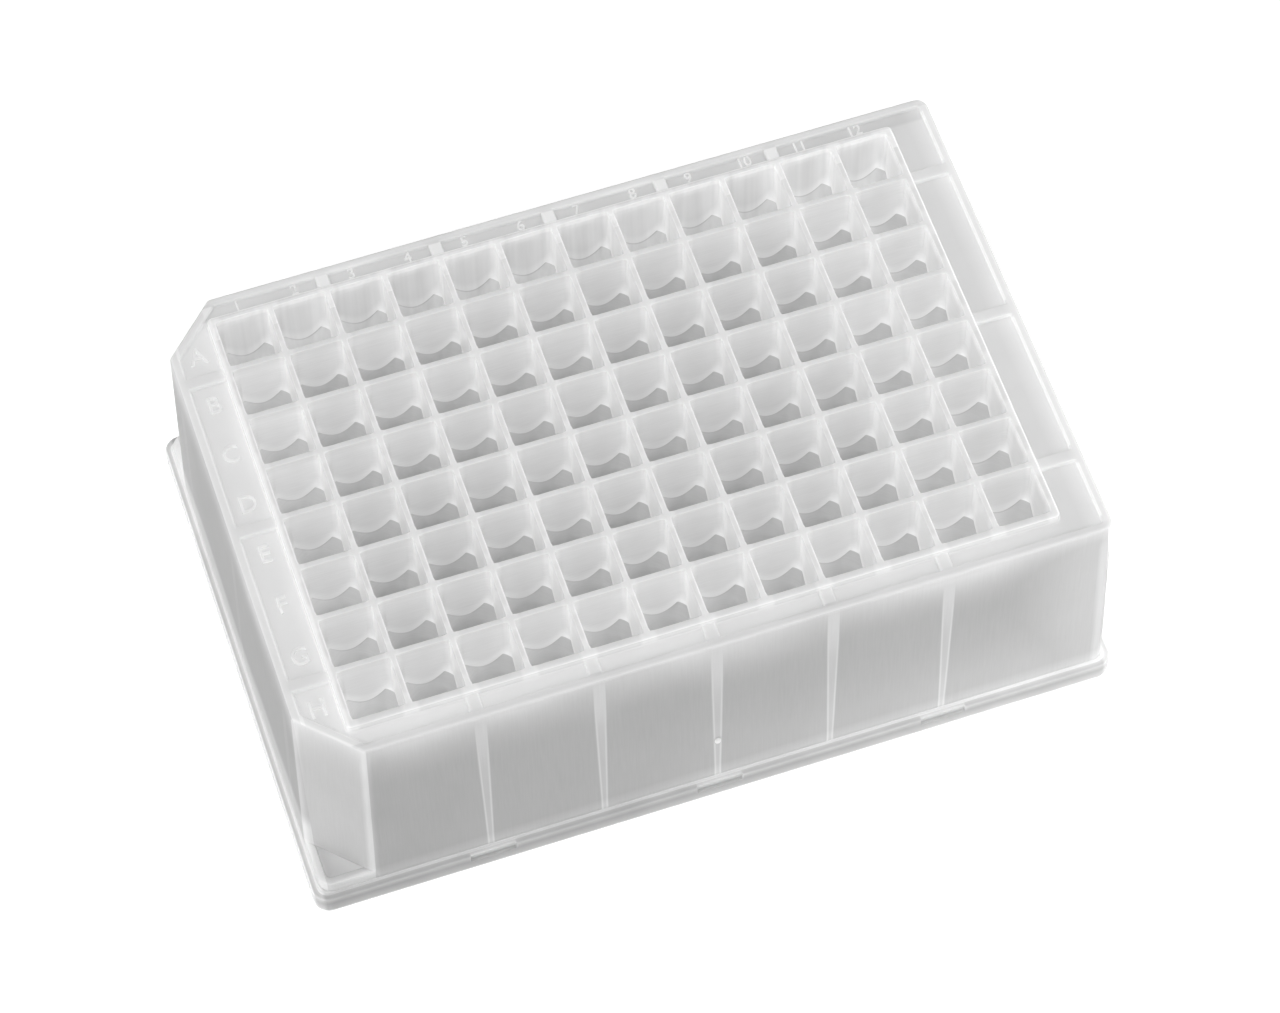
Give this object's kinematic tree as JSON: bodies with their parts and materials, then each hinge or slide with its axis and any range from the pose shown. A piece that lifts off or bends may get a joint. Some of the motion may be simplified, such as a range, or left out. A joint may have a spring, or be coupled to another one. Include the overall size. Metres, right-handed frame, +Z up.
{
  "type": "deep well plate",
  "caption": "Rectangular deep-well plate in one moulding: square-mouthed wells with round cored bores, a recessed label deck, a drafted skirt and a flanged foot.",
  "frame": {"origin": "middle of the footprint, on the surface that the foot stands on", "axes": "+X along the long side, from column 1 to column 12; +Y across it, from row H to row A, so the digits are on the +Y side and the two chamfered corners on the -X side; +Z up, out of the well mouths"},
  "size_m": [0.1278, 0.0854, 0.044],
  "materials": {
    "natural_polypropylene": "natural, milky polypropylene with a fine satin moulded surface, slightly see-through in thin walls"
  },
  "bodies": {
    "root": {"well_plate": "natural_polypropylene"}
  },
  "joints": []
}
